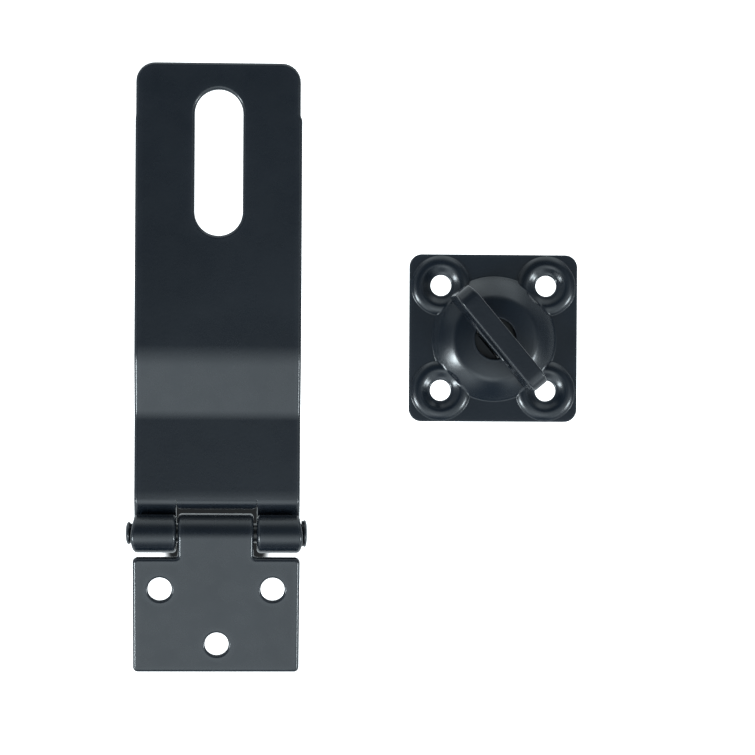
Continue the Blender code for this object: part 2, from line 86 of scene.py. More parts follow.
# ------------------------------------------------------------- profile paths
class Path:
    """A chain of lines and arcs in the (y, z) plane, measured along its length.

    Heading 0 is +Y, and it grows towards +Z.
    """

    def __init__(self, y, z, heading_deg):
        self.parts = []           # (start distance, y, z, heading, curvature)
        self.y, self.z, self.length = y, z, 0.0
        self.heading = math.radians(heading_deg)

    def run(self, length):
        self.parts.append((self.length, self.y, self.z, self.heading, 0.0))
        self.y += length * math.cos(self.heading)
        self.z += length * math.sin(self.heading)
        self.length += length

    def run_to_y(self, target):
        self.run((target - self.y) / math.cos(self.heading))

    def turn(self, radius, to_deg):
        end = math.radians(to_deg)
        curvature = (1.0 if end > self.heading else -1.0) / radius
        self.parts.append((self.length, self.y, self.z, self.heading, curvature))
        self.y += (math.sin(end) - math.sin(self.heading)) / curvature
        self.z -= (math.cos(end) - math.cos(self.heading)) / curvature
        self.length += abs(end - self.heading) * radius
        self.heading = end

    def turn_to_y(self, target, to_deg):
        span = abs(math.sin(math.radians(to_deg)) - math.sin(self.heading))
        self.turn((target - self.y) / span, to_deg)

    def at(self, distance):
        """The y, z and heading at each distance."""
        starts = np.array([part[0] for part in self.parts])
        which = np.searchsorted(starts, distance, side="right") - 1
        which = np.clip(which, 0, len(starts) - 1)
        start, start_y, start_z, start_heading, curvature = np.array(self.parts)[which].T
        gone = distance - start
        heading = start_heading + curvature * gone
        flat = np.abs(curvature) < 1e-12
        bend = np.where(flat, 1.0, curvature)
        y = start_y + np.where(flat, gone * np.cos(start_heading),
                               (np.sin(heading) - np.sin(start_heading)) / bend)
        z = start_z + np.where(flat, gone * np.sin(start_heading),
                               -(np.cos(heading) - np.cos(start_heading)) / bend)
        return y, z, heading

    def stations(self, flat_step, bend_deg):
        """Distances that follow the bends closely and the flats loosely."""
        ends = [part[0] for part in self.parts[1:]] + [self.length]
        out = [0.0]
        for (start, *_, curvature), end in zip(self.parts, ends):
            span = end - start
            if curvature:
                count = math.ceil(math.degrees(span * abs(curvature)) / bend_deg)
            else:
                count = math.ceil(span / flat_step)
            count = max(1, count)
            out += [start + span * (i + 1) / count for i in range(count)]
        return out


# ----------------------------------------------------------------- 2-D loops
def arc(x, y, radius, start_deg, end_deg, steps):
    out = []
    for i in range(steps + 1):
        angle = math.radians(start_deg + (end_deg - start_deg) * i / steps)
        out.append((x + radius * math.cos(angle), y + radius * math.sin(angle)))
    return out


def rounded_rectangle(x, y, width, height, radius, steps):
    side, end = width / 2 - radius, height / 2 - radius
    return (arc(x + side, y + end, radius, 0, 90, steps)
            + arc(x - side, y + end, radius, 90, 180, steps)
            + arc(x - side, y - end, radius, 180, 270, steps)
            + arc(x + side, y - end, radius, 270, 360, steps))


def circle(x, y, radius, steps, phase=0.0):
    return [(x + radius * math.cos(2 * math.pi * (i + phase) / steps),
             y + radius * math.sin(2 * math.pi * (i + phase) / steps)) for i in range(steps)]


def filleted(corners):
    """A closed outline from (x, y, radius) corners."""
    out = []
    for i, (x, y, radius) in enumerate(corners):
        corner = np.array([x, y])
        back = np.array(corners[i - 1][:2]) - corner
        ahead = np.array(corners[(i + 1) % len(corners)][:2]) - corner
        back, ahead = back / np.linalg.norm(back), ahead / np.linalg.norm(ahead)
        half = math.acos(float(np.clip(back @ ahead, -1.0, 1.0))) / 2
        reach = radius / math.tan(half)
        middle = (back + ahead) / np.linalg.norm(back + ahead)
        centre = corner + middle * (radius / math.sin(half))
        first = corner + back * reach - centre
        last = corner + ahead * reach - centre
        start, end = math.atan2(first[1], first[0]), math.atan2(last[1], last[0])
        while end - start > math.pi:
            end -= 2 * math.pi
        while end - start < -math.pi:
            end += 2 * math.pi
        for k in range(CORNER_STEPS + 1):
            angle = start + (end - start) * k / CORNER_STEPS
            out.append((centre[0] + radius * math.cos(angle),
                        centre[1] + radius * math.sin(angle)))
    return out


def resample(loop, step, stations=()):
    """Splits sides longer than step, and adds a point where a side crosses a station's y."""
    out = []
    for start, end in zip(loop, loop[1:] + loop[:1]):
        side_x, side_y = end[0] - start[0], end[1] - start[1]
        length = math.hypot(side_x, side_y)
        if length < 1e-7:
            continue
        cuts = {0.0}
        if abs(side_y) > 1e-6:
            crossings = [(station - start[1]) / side_y for station in stations]
            cuts.update(cut for cut in crossings if 1e-4 < cut < 1 - 1e-4)
        cuts = sorted(cuts) + [1.0]
        for low, high in zip(cuts, cuts[1:]):
            count = max(1, math.ceil((high - low) * length / step))
            for k in range(count):
                part = low + (high - low) * k / count
                x, y = start[0] + side_x * part, start[1] + side_y * part
                if not out or math.hypot(x - out[-1][0], y - out[-1][1]) > 0.07:
                    out.append((x, y))
    if math.hypot(out[0][0] - out[-1][0], out[0][1] - out[-1][1]) < 0.02:
        out.pop()
    return out


def outward(points):
    """Unit normals of a loop with its material on the left, and their miter lengths."""
    sides = np.roll(points, -1, 0) - points
    sides /= np.linalg.norm(sides, axis=1)[:, None]
    normals = np.stack([sides[:, 1], -sides[:, 0]], 1)
    mean = normals + np.roll(normals, 1, 0)
    length = np.linalg.norm(mean, axis=1)
    return mean / length[:, None], np.clip(2.0 / np.maximum(length, 1e-9), 1.0, 1.6)


def inside(points, loops):
    """Which points lie within the loops, by counting crossings."""
    x, y = np.array(points).T
    hit = np.zeros(len(x), bool)
    for loop in loops:
        for (ax, ay), (bx, by) in zip(loop, np.roll(loop, -1, 0)):
            if ay != by:
                hit ^= ((ay > y) != (by > y)) & (x < (bx - ax) * (y - ay) / (by - ay) + ax)
    return hit


def spaced(points, fixed, grain):
    """The points at least a grain away from the fixed ones and from each other."""
    cells, kept = {}, []
    for index, (x, y) in enumerate([*fixed, *points]):
        column, row = int(math.floor(x / grain)), int(math.floor(y / grain))
        if index >= len(fixed):
            near = (other for i in (-1, 0, 1) for j in (-1, 0, 1)
                    for other in cells.get((column + i, row + j), ()))
            if any((other[0] - x) ** 2 + (other[1] - y) ** 2 < grain * grain for other in near):
                continue
            kept.append((float(x), float(y)))
        cells.setdefault((column, row), []).append((x, y))
    return kept


# ------------------------------------------------------- sheet-like solids
def triangulate(rims, free, rows, grain):
    """Fills the rims; returns the points, the triangles and each rim's point numbers."""
    flat, edges, rim_ids = [], [], []
    for rim in rims:
        ids = list(range(len(flat), len(flat) + len(rim)))
        flat += [tuple(point) for point in rim]
        edges += list(zip(ids, ids[1:] + ids[:1]))
        rim_ids.append(ids)
    for row in rows:
        on_row = [i for i in range(len(flat)) if abs(flat[i][1] - row) < 1e-3]
        on_row.sort(key=lambda i: flat[i][0])
        for i, j in zip(on_row, on_row[1:]):
            if inside([((flat[i][0] + flat[j][0]) / 2, row)], rims)[0]:
                edges.append((i, j))
    free = np.array(free)
    flat += spaced(free[inside(free, rims)], np.array(flat), grain)

    out = delaunay_2d_cdt([Vector(point) for point in flat], edges, [], 0, 1e-6, True)
    vertices, triangles, origins = out[0], out[2], out[3]
    moved = {old: new for new, olds in enumerate(origins) for old in olds}
    points = np.array([(vertex.x, vertex.y) for vertex in vertices])
    triangles = np.array([triangle for triangle in triangles if len(triangle) == 3])
    triangles = triangles[inside(points[triangles].mean(1), rims)]
    used, triangles = np.unique(triangles, return_inverse=True)
    triangles = triangles.reshape(-1, 3)
    number = {old: new for new, old in enumerate(used.tolist())}
    points = points[used]
    # make them all counter-clockwise
    corner = points[triangles[:, 0]]
    first, second = points[triangles[:, 1]] - corner, points[triangles[:, 2]] - corner
    clockwise = first[:, 0] * second[:, 1] - first[:, 1] * second[:, 0] < 0
    triangles[clockwise] = triangles[clockwise][:, ::-1]
    return points, triangles.tolist(), [[number[moved[i]] for i in ids] for ids in rim_ids]


def surface_normals(place, across, along, through, normals):
    """Carries flat normals over to the placed surface."""
    tiny = 1e-3
    jacobian = np.stack([
        (place(across + tiny, along, through) - place(across - tiny, along, through)) / (2 * tiny),
        (place(across, along + tiny, through) - place(across, along - tiny, through)) / (2 * tiny),
        (place(across, along, through + tiny) - place(across, along, through - tiny)) / (2 * tiny),
    ], 2)
    turned = np.einsum("nij,nj->ni", np.transpose(np.linalg.inv(jacobian), (0, 2, 1)), normals)
    return turned / np.linalg.norm(turned, axis=1)[:, None]


def sheet_solid(name, loops, place, thickness, free, rows=(), belt=0.9, grain=0.24):
    """A sheet with rounded edges.

    loops: (points, edge radius, or one radius a point), the material on each loop's left.
    place: maps arrays (across, along, through) to points in mm.
    free: extra points inside. rows: values of along where a line of edges must run.
    belt: width of the band of faces beside each edge. grain: least gap between points.
    """
    loops = [(np.array(points), radius, *outward(np.array(points))) for points, radius in loops]
    rims, belts = [], []
    for points, radius, normal, miter in loops:
        rims.append(points - normal * (radius * miter)[:, None])
        belts += [tuple(p) for p in points - normal * ((radius + belt) * miter)[:, None]]
    flat, triangles, rim_ids = triangulate(rims, list(free) + belts, rows, grain)

    count = len(flat)
    half = thickness / 2
    upward = np.zeros((count, 3))
    upward[:, 2] = 1
    # how near each point is to an edge; the paint is made lighter there, partly as rubbed paint and
    # partly as a painted highlight
    edge = np.zeros(count)
    for points, radius, _, _ in loops:
        gap = np.full(count, 1e9)
        for x, y in points:
            gap = np.minimum(gap, np.hypot(flat[:, 0] - x, flat[:, 1] - y))
        edge = np.maximum(edge, np.clip(1.15 - gap / (float(np.max(radius)) + belt), 0, 1))
    outline = [flat, flat]
    through = [np.full(count, half), np.full(count, -half)]
    normals = [upward, -upward]
    edges = [edge, edge]
    faces = [tuple(face) for face in triangles]
    faces += [tuple(i + count for i in face[::-1]) for face in triangles]

    # rings round each edge, from the top face over to the bottom one
    levels = [(math.pi / 2 * (1 - k / EDGE_TURNS), 1.0) for k in range(1, EDGE_TURNS + 1)]
    levels += [(math.pi / 2 * (k / EDGE_TURNS), -1.0) for k in range(EDGE_TURNS)]
    total = 2 * count
    for (points, radius, normal, miter), top in zip(loops, rim_ids):
        size = len(points)
        rings = [top]
        for angle, side in levels:
            inset = radius * (1 - math.cos(angle))
            outline.append(points - normal * (inset * miter)[:, None])
            through.append(np.full(size, side * half) - side * radius * (1 - math.sin(angle)))
            sideways = normal * math.cos(angle)
            normals.append(np.column_stack([sideways, np.full(size, side * math.sin(angle))]))
            edges.append(np.ones(size))
            rings.append(list(range(total, total + size)))
            total += size
        rings.append([i + count for i in top])
        for upper, lower in zip(rings, rings[1:]):
            for i in range(size):
                j = (i + 1) % size
                faces.append((upper[i], lower[i], lower[j], upper[j]))

    across, along = np.ascontiguousarray(np.concatenate(outline).T)
    through = np.concatenate(through)
    normals = surface_normals(place, across, along, through, np.concatenate(normals))
    mesh = new_mesh(name, place(across, along, through), faces)
    stitch(mesh)
    made = smooth_object(mesh, np.concatenate(edges))
    mesh.normals_split_custom_set_from_vertices([tuple(normal) for normal in normals])
    return made


def new_mesh(name, points, faces):
    mesh = bpy.data.meshes.new(name)
    mesh.from_pydata([tuple(point * MM) for point in points], [], faces)
    mesh.update()
    return mesh


def stitch(mesh):
    """Deletes faces that sit on both an open edge and an edge shared by more than two faces, and
    fills the open edges.
    """
    work = bmesh.new()
    work.from_mesh(mesh)
    slivers = [face for face in work.faces
               if min(len(edge.link_faces) for edge in face.edges) == 1
               and max(len(edge.link_faces) for edge in face.edges) > 2]
    if slivers:
        bmesh.ops.delete(work, geom=slivers, context="FACES_ONLY")
        loose = [edge for edge in work.edges if not edge.link_faces]
        bmesh.ops.delete(work, geom=loose, context="EDGES")
    open_edges = [edge for edge in work.edges if len(edge.link_faces) == 1]
    if open_edges:
        bmesh.ops.holes_fill(work, edges=open_edges, sides=0)
    if slivers or open_edges:
        bmesh.ops.recalc_face_normals(work, faces=work.faces[:])
        work.to_mesh(mesh)
    work.free()
    mesh.update()


def smooth_object(mesh, edge):
    """Stores how near each point is to an edge, for the paint, and links the object."""
    attribute = mesh.attributes.new("edge", "FLOAT", "POINT")
    attribute.data.foreach_set("value", np.asarray(edge, np.float32))
    mesh.shade_smooth()
    made = bpy.data.objects.new(mesh.name, mesh)
    bpy.context.scene.collection.objects.link(made)
    return made


# ------------------------------------------------------------------ the strap
STRAP_W = 40.45
ROLL_START_DEG, ROLL_END_DEG = 4.0, 300.0       # the knuckles, round the pin
NOTCH_LEFT, NOTCH_RIGHT = -9.85, 9.70           # x of the slits beside the lip
SLIT = 0.10                                     # width of each slit
SLIT_RADIUS = 0.045                             # at the slit's inner end
LIP_SLOPE_DEG = 50.0
LIP_END_Y = 5.75                                # of the lip's upper face
KNUCKLE_SPREAD = 0.7                            # sideways growth of the rolled knuckles
SLOT_L, SLOT_R = 35.3, 5.8
SLOT_ALONG = 90.1                               # pin axis to the slot's centre


def strap_paths():
    """The strap's and the lip's profiles, where they part, and path length less y on the end flat."""
    start = math.radians(ROLL_START_DEG)
    path = Path(ROLL_R * math.cos(start), ROLL_R * math.sin(start), ROLL_START_DEG + 90)
    path.turn(ROLL_R, ROLL_END_DEG + 90)
    path.heading = math.radians(30)             # the same heading less a full turn
    path.run_to_y(7.45)
    path.turn(2.6, 6.0)
    split = path.length
    # the lip between the knuckles, walked back from the split
    lip = Path(path.y, path.z, 180.0 + 6.0)
    lip.run(0.35)
    lip.turn(1.25, 180.0 + LIP_SLOPE_DEG)
    slope = math.radians(LIP_SLOPE_DEG)
    top_y = lip.y - SHEET / 2 * math.sin(slope)
    lip.run((top_y - LIP_END_Y) / math.cos(slope))
    # the lower flat, the step up and the end flat
    path.turn(20.0, 0.0)
    path.run_to_y(27.6)
    path.turn_to_y(30.5, 17.5)
    path.run_to_y(40.8)
    path.turn_to_y(45.9, 0.0)
    extra = path.length - path.y
    path.run_to_y(STRAP_HIGH[1] - HINGE[1])
    return path, lip, split, extra


STRAP_PATH, LIP_PATH, SPLIT, STRAP_EXTRA = strap_paths()


def place_strap(across, along, through):
    on_lip = (across > NOTCH_LEFT) & (across < NOTCH_RIGHT) & (along < SPLIT)
    y, z, heading = STRAP_PATH.at(along)
    lip_y, lip_z, lip_heading = LIP_PATH.at(SPLIT - along)
    y, z = np.where(on_lip, lip_y, y), np.where(on_lip, lip_z, z)
    heading = np.where(on_lip, lip_heading + math.pi, heading)
    # the rolled knuckles spread sideways, most just past the top of the roll
    angle = np.degrees(np.arctan2(z, y)) % 360.0
    off_peak = np.clip(angle - KNUCKLE_PEAK_DEG, -90, 90)
    spread = KNUCKLE_SPREAD * np.cos(np.radians(off_peak)) ** 2
    spread = np.where((np.hypot(y, z) > ROLL_R + 0.3) | on_lip, 0.0, spread)
    left = np.clip((NOTCH_LEFT - across) / (NOTCH_LEFT + STRAP_W / 2), 0, 1.1)
    right = np.clip((across - NOTCH_RIGHT) / (STRAP_W / 2 - NOTCH_RIGHT), 0, 1.1)
    return np.stack([across + spread * (right - left) + HINGE[0],
                     y - through * np.sin(heading) + HINGE[1],
                     z + through * np.cos(heading) + HINGE[2]], 1)


def build_strap():
    half, end = STRAP_W / 2, STRAP_PATH.length
    trim = end - 13.2                           # from here on the strap is narrower
    end_left, end_right = -half + 0.12, half - 0.42
    bend_rows = [row for row in STRAP_PATH.stations(flat_step=2.4, bend_deg=5.0)
                 if row < STRAP_EXTRA + 46.2]
    lip_rows = [SPLIT - row for row in LIP_PATH.stations(flat_step=0.6, bend_deg=7.0)]
    lip_end = SPLIT - LIP_PATH.length
    slit_end, gap = SPLIT - 0.02, SLIT / 2
    corners = [                                 # x, distance along the path, radius
        (-half, 0, 1.2), (NOTCH_LEFT - gap, 0, 1.2),
        (NOTCH_LEFT - gap, slit_end, SLIT_RADIUS), (NOTCH_LEFT + gap, slit_end, SLIT_RADIUS),
        (NOTCH_LEFT + gap, lip_end, 1.15), (NOTCH_RIGHT - gap, lip_end, 1.15),
        (NOTCH_RIGHT - gap, slit_end, SLIT_RADIUS), (NOTCH_RIGHT + gap, slit_end, SLIT_RADIUS),
        (NOTCH_RIGHT + gap, 0, 1.2), (half, 0, 1.2),
        (half, trim - 0.6, 1.25), (end_right, trim + 0.6, 0.6),
        (end_right, end, 4.6), (end_left, end, 4.6),
        (end_left, trim + 0.5, 0.6), (-half, trim - 0.5, 1.25),
    ]
    outline = resample(filleted(corners), 2.2, bend_rows + [row for row in lip_rows if row > 0.5])
    centre, reach = STRAP_EXTRA + SLOT_ALONG, SLOT_L / 2 - SLOT_R
    slot = resample(arc(0, centre + reach, SLOT_R, 180, 0, 28)
                    + arc(0, centre - reach, SLOT_R, 0, -180, 28), 2.0)
    free = [(x, y) for y in np.arange(STRAP_EXTRA + 48, end - 1, 2.6)
            for x in np.arange(-18, 18.1, 3.0)]

    # the slits beside the lip are sheared, so their edges sharpen towards the slit ends
    x, y = np.array(outline).T
    beside = np.minimum(np.abs(x - NOTCH_LEFT), np.abs(x - NOTCH_RIGHT)) < 0.3
    sharp = np.clip((y - (SPLIT - 2.6)) / 1.8, 0, 1) * beside * (y < SPLIT + 0.2)
    rounding = SHEET_EDGE + (0.10 - SHEET_EDGE) * sharp
    on_lip_end = (x > NOTCH_LEFT) & (x < NOTCH_RIGHT) & (y < lip_end + 1.5)
    rounding = np.where(on_lip_end, np.minimum(rounding, 0.4), rounding)
    return sheet_solid("hasp_strap_sheet", [(outline, rounding), (slot, SHEET_EDGE)],
                       place_strap, SHEET, free, [row for row in bend_rows if row > 0.9] + lip_rows)


# ------------------------------------------------------------------- the leaf
LEAF_TILT = math.radians(14.5)
LEAF_W = 40.7
LEAF_REACH = 34.48                # pin axis to the leaf's free end
LEAF_SHIFT = -0.1                 # of the whole leaf in x
SHOULDER = LEAF_REACH - 4.95      # where the leaf narrows to the rolled tongue
TONGUE_LEFT, TONGUE_RIGHT = -17.8 / 2 - 0.45, 17.8 / 2 + 0.15
# x, distance from the free end
LEAF_HOLES = [(x, LEAF_REACH - from_pin)
              for x, from_pin in ((-13.75, 12.95), (13.75, 12.95), (0.15, 27.15))]

LEAF_PATH = Path(-LEAF_REACH, ROLL_R, 0.0)
LEAF_PATH.run_to_y(0.0)
LEAF_PATH.turn(ROLL_R, -288.0)


def place_leaf(across, along, through):
    # each hole widens towards the lower face, and is drawn slightly long
    for x, y in LEAF_HOLES:
        off_x, off_y = across - x, along - y
        gap = np.maximum(np.hypot(off_x, off_y), 1e-6)
        fade = np.clip((6.4 - gap) / 3.2, 0, 1)
        fade = fade * fade * (3 - 2 * fade)
        flare = 0.42 * np.clip((0.55 - through) / 1.65, 0, 1) ** 1.3 * fade
        across = across + off_x / gap * flare
        along = along + off_y / gap * (flare + 0.06 * fade * np.abs(off_y) / gap)
    y, z, heading = LEAF_PATH.at(along)
    y, z = y - through * np.sin(heading), z + through * np.cos(heading)
    cos, sin = math.cos(LEAF_TILT), math.sin(LEAF_TILT)
    return np.stack([across + LEAF_SHIFT + HINGE[0], y * cos - z * sin + HINGE[1],
                     y * sin + z * cos + HINGE[2]], 1)


def build_leaf():
    half, end = LEAF_W / 2, LEAF_PATH.length
    corners = [                   # x, distance from the free end, radius
        (-half, 0, 1.2), (half, 0, 1.2), (half, SHOULDER, 1.3), (TONGUE_RIGHT, SHOULDER, 0.75),
        (TONGUE_RIGHT, end, 1.2), (TONGUE_LEFT, end, 1.2), (TONGUE_LEFT, SHOULDER, 0.75),
        (-half, SHOULDER, 1.3),
    ]
    rows = [row for row in LEAF_PATH.stations(flat_step=1.6, bend_deg=5.0)
            if row > SHOULDER + 1.2]
    loops = [(resample(filleted(corners), 1.6, rows), SHEET_EDGE)]
    loops += [(circle(x, y, 2.88, 64)[::-1], 0.68) for x, y in LEAF_HOLES]
    free = [(x, y) for x in np.arange(-18, 18.1, 2.2) for y in np.arange(1.8, SHOULDER, 2.0)]
    for x, y in LEAF_HOLES:
        for radius in (4.6, 5.2, 5.9, 6.5):
            free += circle(x, y, radius, 40, 0.5)
    return sheet_solid("hinge_leaf_sheet", loops, place_leaf, SHEET, free, rows)


# -------------------------------------------------------------------- the pin
PIN_R = 2.35
PIN_STEPS = 72
HEAD_BEVEL = 0.16
HEAD_RIM = 0.45                   # height of a head's straight rim
HEAD_UNDERCUT = 0.12              # clearance between shank and head
LEFT_HEAD_R, LEFT_HEAD_H = 2.75, 1.10
RIGHT_HEAD_R, RIGHT_HEAD_H = 3.3, 0.90


def head_profile(face, side, radius, height):
    """(x, radius) points from a head's inner face out to its tip."""
    points = [(face, PIN_R + HEAD_UNDERCUT), (face, radius - HEAD_BEVEL)]
    points += [(face + side * HEAD_BEVEL * (1 - math.cos(angle)),
                radius - HEAD_BEVEL + HEAD_BEVEL * math.sin(angle))
               for angle in np.radians([30, 60, 90])]
    points.append((face + side * (HEAD_RIM - 0.1), radius))
    crown = height - HEAD_RIM + 0.1
    points += [(face + side * (HEAD_RIM - 0.1 + crown * math.sin(angle)),
                radius * math.cos(angle) ** 0.92) for angle in np.radians(np.arange(8, 90, 8))]
    return points + [(face + side * height, 0.0)]


def build_pin():
    """A turned pin: a set head on the right (+X) and a peened one on the left."""
    left = PIN_LOW[0] - HINGE[0] + LEFT_HEAD_H
    right = PIN_HIGH[0] - HINGE[0] - RIGHT_HEAD_H
    stations = [left + HEAD_UNDERCUT, *np.arange(left + 1.5, right - 1, 1.5),
                right - HEAD_UNDERCUT]
    profile = (head_profile(left, -1, LEFT_HEAD_R, LEFT_HEAD_H)[::-1]
               + [(x, PIN_R) for x in stations]
               + head_profile(right, 1, RIGHT_HEAD_R, RIGHT_HEAD_H))
    points, faces, edge, rings = [], [], [], []
    for x, radius in profile:
        count = PIN_STEPS if radius > 1e-6 else 1
        rings.append(list(range(len(points), len(points) + count)))
        # the heads are flagged as edge, so their paint is made lighter: partly rubbed paint, partly a
        # painted highlight
        on_head = radius > 2.6 and (x < left or x > right)
        edge += [1.0 if on_head else 0.0] * count
        # the heads' inner faces follow the spread ends of the knuckles
        side = 1 if x == left else -1 if x == right else 0
        for i in range(count):
            angle = 2 * math.pi * i / PIN_STEPS
            off_peak = max(-90.0, min(90.0, math.degrees(angle) - KNUCKLE_PEAK_DEG))
            seat = 0.56 * math.sin(math.radians(off_peak)) ** 2
            seat *= min(1.0, max(0.0, (radius - 2.5) / 0.3))
            points.append((x + side * seat, radius * math.cos(angle), radius * math.sin(angle)))
    for first, second in zip(rings, rings[1:]):
        for i in range(PIN_STEPS):
            j = (i + 1) % PIN_STEPS
            if len(first) == 1:
                faces.append((first[0], second[j], second[i]))
            elif len(second) == 1:
                faces.append((first[i], first[j], second[0]))
            else:
                faces.append((first[i], first[j], second[j], second[i]))
    mesh = new_mesh("hinge_pin_turned", np.array(points) + HINGE, faces)
    made = smooth_object(mesh, edge)
    mesh.set_sharp_from_angle(angle=math.radians(50))
    return made


# ----------------------------------------------------------- the staple plate
PLATE_X, PLATE_Y = (PLATE_LOW[0] + PLATE_HIGH[0]) / 2, (PLATE_LOW[1] + PLATE_HIGH[1]) / 2
PLATE_T = 1.5
PLATE_CORNER = 3.1
PLATE_EDGE, PLATE_HOLE_EDGE = 0.24, 0.4         # edge rounding
SWIVEL_HOLE_R, SCREW_HOLE_R = 5.0, 2.55
SCREWS = [(PLATE_X + i * 13.0, PLATE_Y + j * 12.95) for i in (-1, 1) for j in (-1, 1)]
FOOT_SOFT = 0.16                  # fillet where a pressed wall meets the flat
BELOW_FLAT = -0.6                 # level given to a ring beyond its foot
DOME_R = 15.4
# radius from the swivel, slope in degrees
DOME_SLOPES = ((0.0, 0.0), (5.0, 3.0), (9.4, 9.5), (11.0, 33.5), (15.4, 46.0), (17.0, 46.0))
RING_CREST, RING_FOOT, RING_RISE = 5.2, 7.4, 1.05
# radii of the circles of mesh points round each screw hole and round the swivel
SCREW_MESH = (7.3, 7.42, 7.54, 7.18, 7.06, 6.85, 6.6, 6.3, 5.95, 5.6, 5.3, 5.0, 4.65, 4.3,
              3.95, 3.6, 3.25)
DOME_MESH = (15.4, 15.28, 15.52, 15.14, 15.66, 14.9, 14.6, 14.2, 13.8, 13.3, 12.8, 12.3, 11.8,
             11.4, 11.0, 10.6, 10.2, 9.8, 9.4, 8.9, 8.4, 7.8, 7.2, 6.6, 6.0)


def dome_table():
    """Radii, and the dome's height over the flat at each: below zero outside its foot."""
    radius = np.linspace(0, 17.0, 1361)
    slope = np.tan(np.radians(np.interp(radius, *zip(*DOME_SLOPES))))
    drop = np.concatenate([[0.0], np.cumsum((slope[1:] + slope[:-1]) / 2 * np.diff(radius))])
    return radius, float(np.interp(DOME_R, radius, drop)) - drop


DOME_AT, DOME_RISE = dome_table()


def smooth_max(first, second, blend):
    gap = np.abs(first - second)
    blend = np.maximum(blend, 1e-9)
    return np.maximum(first, second) + np.where(gap < blend, (blend - gap) ** 2 / (4 * blend), 0.0)


def ring_rise(gap):
    """A pressed ring round a screw hole: a soft crest, a cupped inside, a curved outer wall."""
    run = RING_FOOT - RING_CREST
    radius = (run * run + RING_RISE ** 2) / (2 * RING_RISE)
    fall = np.clip(gap - RING_CREST, 0, run)
    outer = RING_RISE - radius + np.sqrt(np.maximum(0.0, radius * radius - fall ** 2))
    outer = outer - np.maximum(gap - RING_FOOT, 0.0) * run / (radius - RING_RISE)
    part = np.clip((gap - SCREW_HOLE_R) / (RING_CREST - SCREW_HOLE_R), 0, 1)
    inner = RING_RISE * (1 - np.cos(np.pi * part)) / 2
    return np.maximum(np.where(gap > RING_CREST, outer, inner), BELOW_FLAT)


def pressed_rise(x, y):
    """Height of the dome and the rings over the plate's flat top."""
    dome = np.interp(np.hypot(x - SWIVEL[0], y - SWIVEL[1]), DOME_AT, DOME_RISE)
    ring = np.full_like(x, BELOW_FLAT)
    near = np.full_like(x, 99.0)
    for screw_x, screw_y in SCREWS:
        gap = np.hypot(x - screw_x, y - screw_y)
        ring = np.where(gap < near, ring_rise(gap), ring)
        near = np.minimum(near, gap)
    # the dome gives way to the screw holes
    fade = np.clip((near - 3.3) / (5.3 - 3.3), 0, 1)
    dome = np.where(dome > 0, dome * fade * fade * (3 - 2 * fade), dome)
    both = smooth_max(dome, ring, np.clip(2 * np.minimum(dome, ring), 0.0, 0.35))
    foot = np.clip((near - 2.9) / 0.8, 0.02, 1) * FOOT_SOFT
    return smooth_max(both, np.zeros_like(both), foot)


def pressed_back(x, y):
    """Height of the underside, which keeps the thickness across a slope."""
    step = 0.05
    rise = pressed_rise(x, y)
    slope_x = (pressed_rise(x + step, y) - pressed_rise(x - step, y)) / (2 * step)
    slope_y = (pressed_rise(x, y + step) - pressed_rise(x, y - step)) / (2 * step)
    stretch = np.minimum(1.4, np.sqrt(1 + slope_x * slope_x + slope_y * slope_y))
    stretch = np.where(rise < 1e-4, 1.0, stretch)
    return np.maximum(0.0, rise + PLATE_T - PLATE_T * stretch)


def place_plate(across, along, through):
    top = PLATE_T + pressed_rise(across, along)
    back = pressed_back(across, along)
    return np.stack([across, along, back + (top - back) * (through / PLATE_T + 0.5)], 1)


def mesh_circles(x, y, radii, fine_beyond, fine, coarse):
    """Circles of points, closer together on the radii beyond a limit."""
    out = []
    for radius in radii:
        step = fine if radius > fine_beyond else coarse
        out += circle(x, y, radius, int(2 * math.pi * radius / step), 0.5)
    return out


def build_plate():
    outline = rounded_rectangle(PLATE_X, PLATE_Y, PLATE_HIGH[0] - PLATE_LOW[0],
                                PLATE_HIGH[1] - PLATE_LOW[1], PLATE_CORNER, 12)
    loops = [(resample(outline, 0.7), PLATE_EDGE),
             (circle(SWIVEL[0], SWIVEL[1], SWIVEL_HOLE_R, 80)[::-1], PLATE_HOLE_EDGE)]
    loops += [(circle(x, y, SCREW_HOLE_R, 48)[::-1], PLATE_HOLE_EDGE) for x, y in SCREWS]
    free = []
    for x, y in SCREWS:
        free += mesh_circles(x, y, SCREW_MESH, fine_beyond=6.8, fine=0.26, coarse=0.42)
    free += mesh_circles(SWIVEL[0], SWIVEL[1], DOME_MESH, fine_beyond=15, fine=0.28, coarse=0.45)
    free += [(x, y) for x in np.arange(PLATE_LOW[0] + 0.8, PLATE_HIGH[0], 0.9)
             for y in np.arange(PLATE_LOW[1] + 0.8, PLATE_HIGH[1], 0.9)]
    return sheet_solid("staple_plate_pressed", loops, place_plate, PLATE_T, free,
                       belt=0.5, grain=0.11)


# ---------------------------------------------- the swivel staple and its washer
STAPLE_TURN = math.radians(-50.0)
STAPLE_L, STAPLE_T = 30.0, 4.7
STAPLE_EDGE = 0.5
STAPLE_TOP = STAPLE_HIGH[2]
STAPLE_CORNER = 3.4
FOOT_Z = 3.15                     # underside of the bar's two ends
SHANK_HALF = 4.0                  # half width of the part through the plate
PEEN_LOW, PEEN_HIGH = STAPLE_LOW[2], STAPLE_LOW[2] + 1.2
PEEN_HALF, PEEN_BULGE = 4.6, 0.9  # half width of the peened end's bottom, and its bulge
EYE_LOW, EYE_HIGH = 8.5, 20.0
EYE_W, EYE_CORNER = 15.0, 3.0


